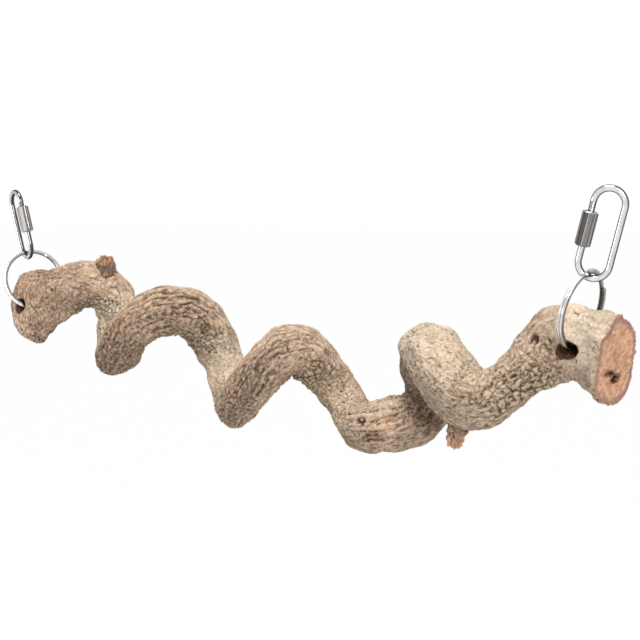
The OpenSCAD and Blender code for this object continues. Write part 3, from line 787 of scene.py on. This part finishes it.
def make_twig(name, place, out, width, length, ragged, stain, seed):
    """A broken twig at a place of the course: a cone of half width
    (width/2)(1 + (1 - t)^2/2 - 0.3 t^4) with three lobes, ridged lengthwise, that
    starts half way out of the wood. Its frayed end, ragged by so many millimetres,
    dips to a hollow in the middle that is painted dark as shade, and its grooves are
    painted dark as shade and its ridges light as highlight. stain is how dark and
    mauve it is."""
    rows, sides, caps = 70, 110, 20
    row = course_at(np.array([place]))[0]
    root = LEFT.hole + row[:3] * [BRANCH_L, COIL_R, COIL_R]
    r = row[3] * STEM_R
    out = unit(np.array(out, float))
    x = unit(reject(np.array([0.0, 1.0, 0.0]), out))
    y = np.cross(out, x)
    a = np.linspace(0, 2 * np.pi, sides, endpoint=False)[None]
    t = np.linspace(0, 1, rows)[:, None]
    raw = np.stack([3 * t * length + 0 * a, 4 * np.cos(a) + 0 * t, 4 * np.sin(a) + 0 * t], -1)
    raw = raw.reshape(-1, 3)
    splinter = layered(raw / [6, 1.3, 1.3], 3, seed).reshape(rows, sides)
    jag = ragged * (0.4 + 0.8 * layered(raw[-sides:] / [1, 2.2, 2.2], 3, seed + 5))[None]
    lumpy = layered(raw / [5, 2.6, 2.6], 2, seed + 3).reshape(rows, sides)
    cone = width / 2 * (1 + 0.5 * (1 - t) ** 2 - 0.3 * t**4) * (1 + 0.12 * np.cos(3 * a))
    w = cone + 0.7 * splinter + 1.5 * lumpy - 0.3
    along = r * 0.5 + t * (r * 0.5 + length) - smoothstep(0.55, 1, t) * np.clip(jag, -0.2, 9)
    share = np.linspace(1, 0, caps + 1)[1:-1][:, None]
    flat = np.stack([share * np.cos(a) * 3, share * np.sin(a) * 3, 0 * a * share], -1).reshape(-1, 3)
    lumps = layered(flat / 0.8, 3, seed + 9).reshape(caps - 1, sides)
    dip = 0.55 * ragged * smoothstep(1, 0.4, share) - 0.6 * lumps * smoothstep(1, 0.8, share)
    w = np.vstack([w, w[-1:] * share])
    along = np.vstack([along, mixed(along[-1:].mean(), along[-1:], share) - dip])
    own = np.stack([along, w * np.cos(a), w * np.sin(a)], -1)
    points, faces = closed_tube(in_frame(own, root, out, x, y)[:, ::-1])
    t_all = np.vstack([t, 1 + 0 * share]) + 0 * a
    hollow = np.vstack([0 * t + 0 * a, smoothstep(0.95, 0.5, share + 0.35 * lumps)])
    ridge = np.vstack([splinter, lumps])
    marks = {name: 0 * ridge for name in BARK_MARKS}
    # Painted shade in the grooves and the hollow, with the stain's real dark; painted highlight on the
    # ridges
    marks["crease_shade_and_crack"] = np.clip(smoothstep(0.0, -0.5, ridge) + hollow + 0.25 * stain, 0, 1)
    marks["crest"] = smoothstep(0.2, 0.6, ridge) * (1 - 0.5 * stain)
    marks["mauve_and_shade"] = stain + 0 * ridge
    torn = smoothstep(0.6, 0.95, t_all + 0.3 * ridge) * (1 - 0.8 * hollow)
    marks["broken"] = torn * (1 - 0.6 * stain)
    marks = {name: np.append(values[:, ::-1].ravel(), [0.5, 0.5]) for name, values in marks.items()}
    grain = own[:, ::-1].reshape(-1, 3)
    marks["grain"] = np.vstack([grain, [[0, 0, 0], [length, 0, 0]]]) * MM
    twig = make_piece(name, points, faces, "branch", BARK, marks)
    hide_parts("branch")


# Half length of the bar that cuts a hole, how rough it is, and how far from its
# own radius a point still counts as its wall
BAR_HALF, BAR_ROUGH, WALL_REACH = 24, 0.12, 0.35

# Marks of the drilled wall, painted dark there as shade inside the hole; the others are nought there
WALL_MARKS = dict(sawn=1.0, pith=0.58)


def paint_hole_shade(mesh, end):
    """Marks the points that lie near enough to the drill's line to be on its wall
    as cut wood painted dark, painted shade inside the hole."""
    place = np.empty(3 * len(mesh.vertices), np.float32)
    mesh.vertices.foreach_get("co", place)
    from_hole = place.reshape(-1, 3) / MM - end.hole
    wall = np.linalg.norm(reject(from_hole, end.drill), axis=1) < HOLE_R + WALL_REACH
    values = np.empty(len(mesh.vertices), np.float32)
    for name in BARK_MARKS:
        mesh.attributes[name].data.foreach_get("value", values)
        values[wall] = WALL_MARKS.get(name, 0.0)
        mesh.attributes[name].data.foreach_set("value", values)


def drill_hole(wood, end, seed):
    """Cuts the drilled hole with a round bar whose radius is the hole's plus a
    little noise, and paints its wall dark as shade."""
    sides, rows = 72, 60
    a = np.linspace(0, 2 * np.pi, sides, endpoint=False)[None]
    t = np.linspace(-BAR_HALF, BAR_HALF, rows)[:, None]
    x = unit(reject(UP, end.drill))
    y = np.cross(end.drill, x)
    raw = np.stack([t / 3 + 0 * a, 3 * np.cos(a) + 0 * t, 3 * np.sin(a) + 0 * t], -1)
    r = HOLE_R + BAR_ROUGH * noise(raw.reshape(-1, 3), seed).reshape(rows, sides)
    outward = np.cos(a)[..., None] * x + np.sin(a)[..., None] * y
    p = end.hole + t[..., None] * end.drill + r[..., None] * outward
    points, faces = closed_tube(p[:, ::-1])
    mesh = bpy.data.meshes.new("bar")
    mesh.from_pydata((points * MM).tolist(), [], faces)
    mesh.materials.append(BARK)
    bar = bpy.data.objects.new("bar", mesh)
    bpy.context.scene.collection.objects.link(bar)
    cut = wood.modifiers.new("hole", "BOOLEAN")
    cut.operation, cut.solver, cut.object = "DIFFERENCE", "EXACT", bar
    bpy.context.view_layer.update()
    result = bpy.data.meshes.new_from_object(wood.evaluated_get(bpy.context.evaluated_depsgraph_get()))
    wood.modifiers.clear()
    old = wood.data
    wood.data = result
    bpy.data.meshes.remove(old)
    bpy.data.objects.remove(bar)
    paint_hole_shade(result, end)


# Steel: how far the wire's corners are rounded and its two cut ends drawn in;
# then, in degrees, where it starts and ends round the ring and how long its step is
WIRE_ROUND, WIRE_END_SHARE = 0.24, 0.8
WIRE_FROM, WIRE_TO, STEP_SPAN = 102, 718, 100

# Thread of a link's two rod ends: from crest to crest, its depth, how far it goes
# beyond the sleeve's own way, and how far it fades out
THREAD_PITCH, THREAD_DEPTH, THREAD_REACH, THREAD_FADE = 0.75, 0.13, 6.0, 0.5
GATE_CHAMFER = ROD_D / 8

# Sleeve: how far its edges are rounded off, its end chamfer and its bore's
EDGE_SHARE, NUT_CHAMFER, BORE_CHAMFER = 0.985, NUT_ACROSS / 12, 0.25


def wire_section():
    """Outline of the flat wire: a rectangle with rounded corners, as radius and height."""
    a = np.linspace(0, np.pi / 2, 4)
    middle = np.array([WIRE_W / 2 - WIRE_ROUND, WIRE_T / 2 - WIRE_ROUND])
    quarter = middle + WIRE_ROUND * np.stack([np.cos(a), np.sin(a)], -1)
    other = quarter[::-1] * [-1, 1]
    half = np.vstack([quarter, other])
    return np.vstack([half, -half])


def make_split_ring(side, end, step_at):
    """Two turns of flat wire: the wire's section carried round the circle, at one
    height for a turn, rising by a half cosine over the step, then at the other."""
    section = wire_section()
    angle = np.radians(np.linspace(WIRE_FROM, WIRE_TO, 300))
    rise = np.clip((angle - 2 * np.pi) / np.radians(STEP_SPAN), 0, 1)
    z = -np.cos(np.pi * rise) * (WIRE_T + TURN_GAP) / 2
    shrink = np.ones(len(angle))
    shrink[[0, -1]] = WIRE_END_SHARE
    rad = RING_R + section[None, :, 0] * shrink[:, None]
    turn = angle + np.radians(step_at)
    p = np.stack([rad * np.cos(turn)[:, None], rad * np.sin(turn)[:, None],
                  z[:, None] + section[None, :, 1] * shrink[:, None]], -1)
    p = in_frame(p, end.ring, end.front, end.up, np.cross(end.front, end.up))
    points, faces = closed_tube(p)
    # Painted reflection: the wire is brighter towards its outer edge and darker towards its inner edge
    outer = smoothstep(-0.6, 0.9, section[:, 0] / (WIRE_W / 2))
    painted_reflection = np.append(np.tile(outer, len(angle)), [0.5, 0.5])
    ring = make_piece(side + "_ring_wire", points, faces, side + "_ring", WIRE_STEEL,
                      dict(painted_reflection=painted_reflection), sharp=50)
    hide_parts(side + "_split_ring")


def make_link(side, end, gate_side):
    """The link's rod: a round section carried from the lower end of the gate round
    the bottom bow, up the plain leg, over the top bow and down to the gate again.
    Its two ends are threaded: the radius dips by the thread's depth as a cosine of
    the height less the angle. It is painted bright as reflection where it faces front
    or back and dark on its flanks, and darker over the thread."""
    top = LINK_L - ROD_D - BOW_R
    low, high = GATE_LOW, GATE_HIGH
    down = np.stack([np.full(90, BOW_R), np.linspace(low, BOW_R + 0.4, 90)], -1)
    a = np.linspace(0, np.pi, 40)
    bottom = np.stack([BOW_R * np.cos(a), BOW_R - BOW_R * np.sin(a)], -1)
    leg = np.stack([np.full(12, -BOW_R), np.linspace(BOW_R, top, 14)[1:-1]], -1)
    over = np.stack([-BOW_R * np.cos(a), top + BOW_R * np.sin(a)], -1)
    back = np.stack([np.full(70, BOW_R), np.linspace(top - 0.2, high, 70)], -1)
    line = np.vstack([down, bottom, leg, over, back])
    tangent = unit(np.gradient(line, axis=0))
    out = np.stack([tangent[:, 1], -tangent[:, 0]], -1)
    sides = 28
    b = np.linspace(0, 2 * np.pi, sides, endpoint=False)
    height = line[:, 1][:, None]
    at_gate = (line[:, 0] > BOW_R - 0.001)[:, None]
    thread = 0.5 - 0.5 * np.cos(2 * np.pi * height / THREAD_PITCH - b)
    lowest, highest = low - THREAD_REACH, high + THREAD_REACH
    reach = smoothstep(lowest - THREAD_FADE, lowest, height)
    reach = reach * smoothstep(highest + THREAD_FADE, highest, height)
    r = ROD_D / 2 - THREAD_DEPTH * thread * reach * at_gate
    nose = np.minimum(np.abs(height - low), np.abs(height - high))
    r = np.where(at_gate, np.minimum(r, ROD_D / 2 - GATE_CHAMFER + nose), r)
    p = np.stack([gate_side * (line[:, :1] + r * np.cos(b) * out[:, :1]), r * np.sin(b),
                  line[:, 1:] + r * np.cos(b) * out[:, 1:]], -1)
    p = in_frame(p, end.link, end.across, np.cross(end.long, end.across), end.long)
    points, faces = closed_tube(p[:, ::-1] if gate_side > 0 else p)
    # Painted reflection: bright on the faces to front and back, dark on the flanks
    faced = smoothstep(0.55, 0.9, np.abs(np.sin(b))) + 0 * r
    faced = (faced * (1 - 0.6 * reach * at_gate))[:, ::-1 if gate_side > 0 else 1]
    painted_reflection = np.append(faced.ravel(), [0.5, 0.5])
    rod = make_piece(side + "_link_rod", points, faces, side + "_link", ROD_STEEL,
                     dict(painted_reflection=painted_reflection), sharp=50)
    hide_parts(side + "_link")


# How bright each flat of a sleeve is painted, a painted reflection, on the left link and on the right
SLEEVE_FLAT_REFLECTIONS = dict(left=(0.15, 0.2, 0.3, 0.4, 0.95, 0.9), right=(0.1, 0.55, 0.15, 0.45, 0.05, 0.3))


def make_sleeve(side, end, gate_side, low):
    """The screw sleeve: the radius is the smaller of a rounded hexagon's and of a
    cone's at each end, and a bore runs through, wrapped both ways."""
    half, corner_r = NUT_ACROSS / 2, NUT_ACROSS / 2 / np.cos(np.pi / 6)
    end_r = half - NUT_CHAMFER
    sides = 96
    a = np.linspace(0, 2 * np.pi, sides, endpoint=False)
    folded = np.abs((a + np.pi / 6) % (np.pi / 3) - np.pi / 6)
    hexagon = np.minimum(half / np.cos(np.pi / 6 - folded), corner_r * EDGE_SHARE)
    rise = (corner_r - end_r) * np.tan(np.pi / 6)
    z = np.concatenate([np.linspace(0, rise, 6), np.linspace(rise, NUT_L - rise, 12)[1:-1],
                        np.linspace(NUT_L - rise, NUT_L, 6)])[:, None]
    cone = end_r + np.minimum(z, NUT_L - z) / np.tan(np.pi / 6)
    bore = ROD_D / 2 + SLEEVE_CLEAR
    mouth = bore + BORE_CHAMFER
    inner = np.array([[mouth, NUT_L], [bore, NUT_L - BORE_CHAMFER], [bore, BORE_CHAMFER], [mouth, 0]])
    radius = np.vstack([np.minimum(hexagon, cone), inner[:, :1] + 0 * a])
    height = np.vstack([z, inner[:, 1:]])
    across = gate_side * BOW_R + radius * np.cos(a)
    p = np.stack([across, radius * np.sin(a), low + height + 0 * radius], -1)
    p = in_frame(p, end.link, end.across, np.cross(end.long, end.across), end.long)
    faces = grid_faces(len(radius), sides, close=True).tolist()
    # Painted reflection: each flat gets its own tone, and the corners and the ends' chamfers are brighter
    flat = np.round((a + np.pi / 6) / (np.pi / 3) - 0.5).astype(int) % 6
    bright_corners = smoothstep(0.80, 0.97, folded / (np.pi / 6))
    tone = np.maximum(np.array(SLEEVE_FLAT_REFLECTIONS[side])[flat], bright_corners) + 0 * radius
    painted_reflection = np.maximum(tone, smoothstep(0.5, 0.2, np.minimum(height, NUT_L - height)) + 0 * radius)
    sleeve = make_piece(side + "_screw_sleeve", p.reshape(-1, 3), faces, side + "_sleeve",
                        SLEEVE_STEEL, dict(painted_reflection=painted_reflection.ravel()), sharp=28)
    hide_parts(side + "_link_sleeve")


wood = make_wood()
make_twig("twig_stump", 5.25, (0.3, -0.2, 1), width=10.0, length=7.5, ragged=2.4, stain=0.7, seed=73)
make_twig("twig_spur", 32.0, (-0.25, -0.1, -1), width=8.0, length=11.0, ragged=2.0, stain=0.0, seed=80)
drill_hole(wood["left"], LEFT, seed=50)
drill_hole(wood["right"], RIGHT, seed=60)
make_split_ring("left", LEFT, step_at=22)
make_split_ring("right", RIGHT, step_at=72)
make_link("left", LEFT, gate_side=1)
make_link("right", RIGHT, gate_side=-1)
make_sleeve("left", LEFT, gate_side=1, low=GATE_HIGH + LEFT_GRIP - NUT_L)
make_sleeve("right", RIGHT, gate_side=-1, low=GATE_HIGH + RIGHT_GRIP - NUT_L)


# Studio, in metres: the floor, and how much of it is plain white to the eye; the
# air's strength below a share of the way down and at the top; the lamps' target,
# names, places, sizes and watts
FLOOR_HALF, FLOOR_Z, FLOOR_WHITE = 12, -0.3, 0.99
AIR_FROM, AIR_LOW, AIR_HIGH = -0.3, 0.11, 0.42
MIDDLE = (0.18, 0, -0.06)
LAMPS = (("top", (0.25, -0.2, 1.0), 0.6, 14), ("side", (1.2, -0.8, 0.5), 0.5, 14.5),
         ("fill", (-0.7, -1.1, 0.0), 0.4, 2))


def seen_white(p):
    """1 for the eye, for what shines in metal and for what shows through glass."""
    rays = p.node("LightPath").outputs
    shone = p.math("MAXIMUM", rays["Is Glossy Ray"], rays["Is Transmission Ray"])
    return p.math("MAXIMUM", rays["Is Camera Ray"], shone)


def make_floor():
    """A pale floor, white to the eye and in bright metal apart from the shadow on
    it, and a plain matt surface to everything else."""
    p = Paint(bpy.data.materials.new("studio_paper"))
    matt = p.node("BsdfDiffuse", {"Color": (0.7, 0.7, 0.7, 1)})
    white = p.node("Emission", {"Color": (1, 1, 1, 1), "Strength": 1.0})
    share = p.math("MULTIPLY", seen_white(p), FLOOR_WHITE)
    both = p.node("MixShader", {0: share, 1: matt.outputs[0], 2: white.outputs[0]})
    p.node("OutputMaterial", {"Surface": both.outputs[0]})
    corners = [(FLOOR_HALF * x, FLOOR_HALF * y, FLOOR_Z) for x, y in ((-1, -1), (1, -1), (1, 1), (-1, 1))]
    mesh = bpy.data.meshes.new("studio_floor")
    mesh.from_pydata(corners, [], [(0, 1, 2, 3)])
    mesh.materials.append(p.owner)
    floor = bpy.data.objects.new("studio_floor", mesh)
    bpy.context.scene.collection.objects.link(floor)


def make_lamp(name, place, size, power):
    """A square lamp that is turned to the middle of the perch."""
    lamp = bpy.data.lights.new(name, "AREA")
    lamp.shape, lamp.size, lamp.energy = "SQUARE", size, power
    holder = bpy.data.objects.new(name, lamp)
    bpy.context.scene.collection.objects.link(holder)
    holder.location = place
    holder.rotation_euler = (Vector(MIDDLE) - Vector(place)).to_track_quat("-Z", "Y").to_euler()


def make_air():
    """Air that is white to the eye and in bright metal, and lights everything
    else softly, more from above than from below."""
    p = Paint(bpy.data.worlds.new("studio_air"))
    bpy.context.scene.world = p.owner
    upward = p.node("SeparateXYZ", {0: p.node("TexCoord").outputs["Generated"]}).outputs["Z"]
    strength = p.node("MapRange", {"Value": upward, "From Min": AIR_FROM,
                                   "To Min": AIR_LOW, "To Max": AIR_HIGH}).outputs["Result"]
    soft = p.node("Background", {"Color": (1, 1, 1, 1), "Strength": strength})
    white = p.node("Background", {"Color": (1, 1, 1, 1)})
    both = p.node("MixShader", {0: seen_white(p), 1: soft.outputs[0], 2: white.outputs[0]})
    p.node("OutputWorld", {0: both.outputs[0]})


make_floor()
make_air()
for lamp in LAMPS:
    make_lamp(*lamp)
bpy.context.scene.view_settings.view_transform = "Standard"
